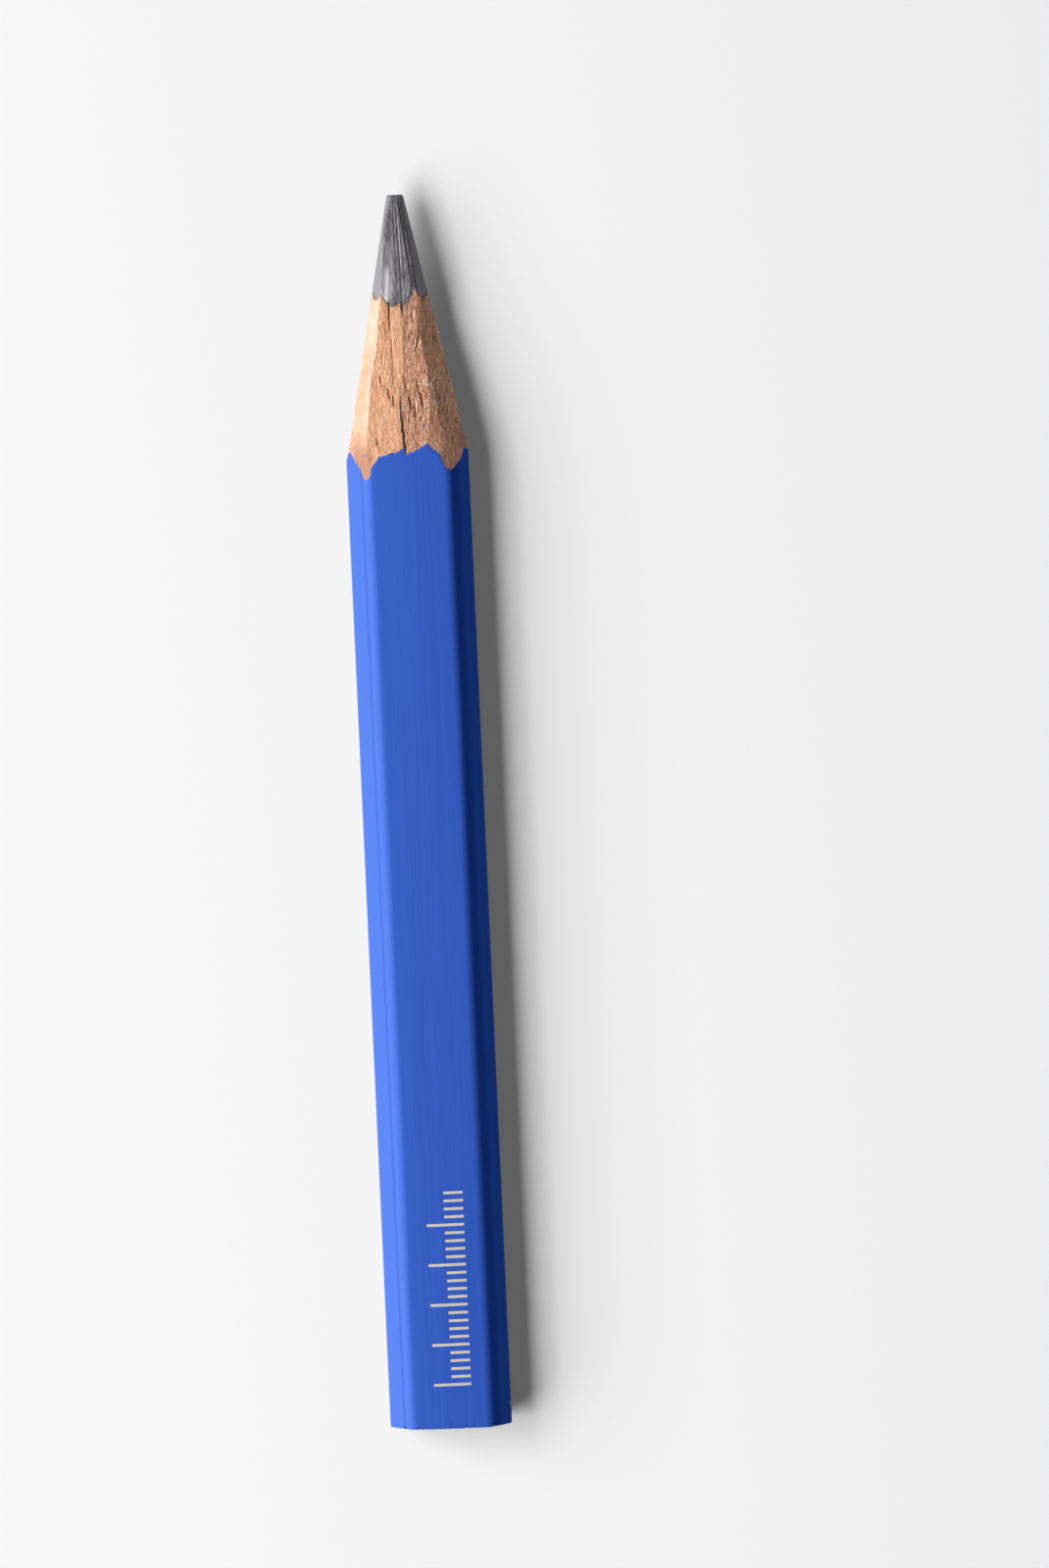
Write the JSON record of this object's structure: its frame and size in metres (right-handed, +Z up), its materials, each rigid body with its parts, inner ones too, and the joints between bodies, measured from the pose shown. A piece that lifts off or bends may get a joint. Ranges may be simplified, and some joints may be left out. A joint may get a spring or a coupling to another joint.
{
  "type": "sharpened carpenter's pencil",
  "caption": "Flat, thick wood-cased pencil with a lacquered octagonal body, whittled by knife to a blunt graphite point.",
  "frame": {"origin": "on the surface the pencil lies on, under the middle of its length and width", "axes": "+X across the broad faces, +Y along the pencil towards its point, +Z up out of the upper broad face"},
  "size_m": [0.015, 0.153, 0.0075],
  "materials": {
    "graphite": "satin",
    "bare_wood": "matte",
    "lacquer": "gloss",
    "scale_print": "satin"
  },
  "bodies": {
    "root": {"lead": "graphite", "slat_left": "bare_wood", "slat_right": "bare_wood", "lacquer_coat": "lacquer"}
  },
  "joints": []
}
